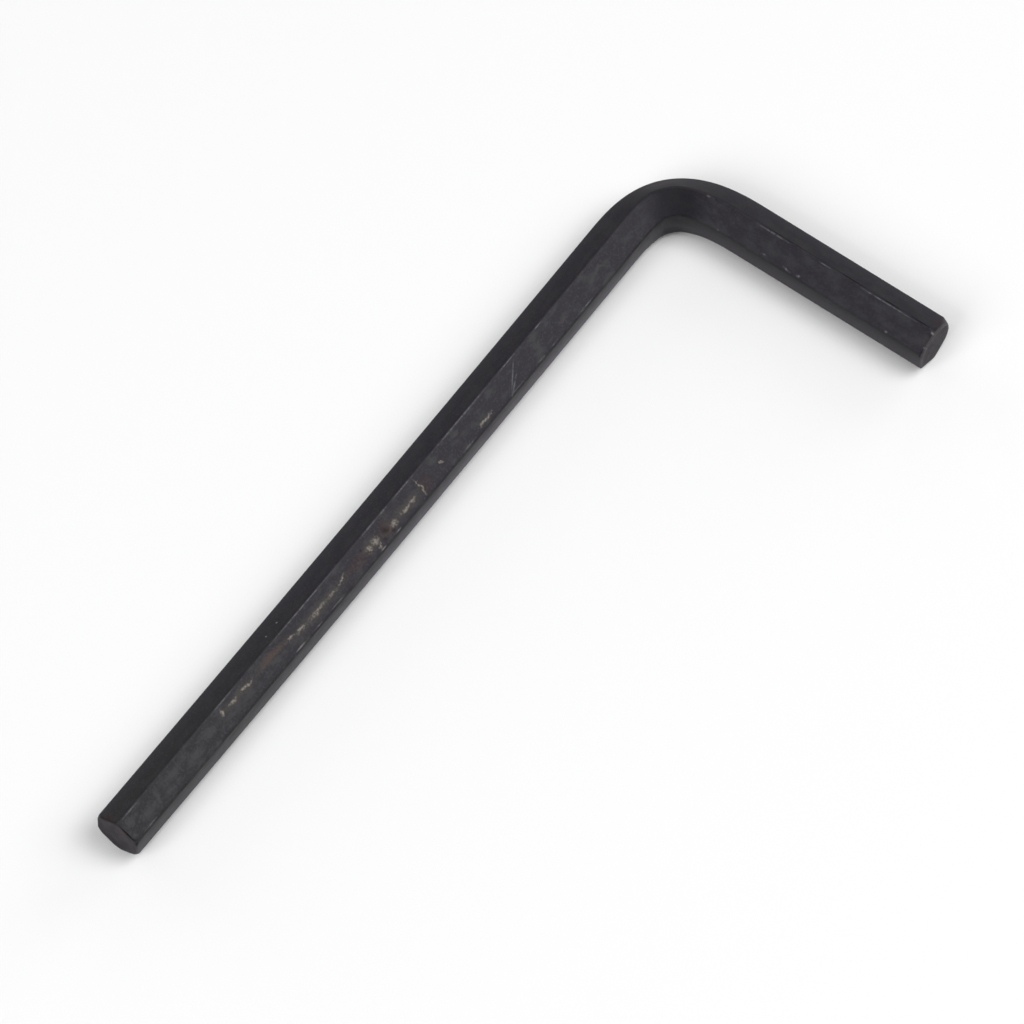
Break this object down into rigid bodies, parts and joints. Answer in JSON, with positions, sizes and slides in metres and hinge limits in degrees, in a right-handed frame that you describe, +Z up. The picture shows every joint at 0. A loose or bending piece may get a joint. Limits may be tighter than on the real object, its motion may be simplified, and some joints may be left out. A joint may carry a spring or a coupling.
{
  "type": "hex key",
  "caption": "L-shaped hexagonal key of black-oxide steel bar for turning socket screws, with a long arm, a short arm and bevelled tips.",
  "frame": {"origin": "on the surface the key lies on, under the middle of its bounding box", "axes": "+X along the long arm towards its tip, +Y the way the short arm points, +Z up, square to the plane of the two arms"},
  "size_m": [0.076, 0.0282, 0.0045],
  "materials": {
    "oxide_steel": "black oxide on drawn bar, oiled to a satin, with the edges rubbed and a little dried residue"
  },
  "bodies": {
    "root": {"hex_bar": "oxide_steel"}
  },
  "joints": []
}
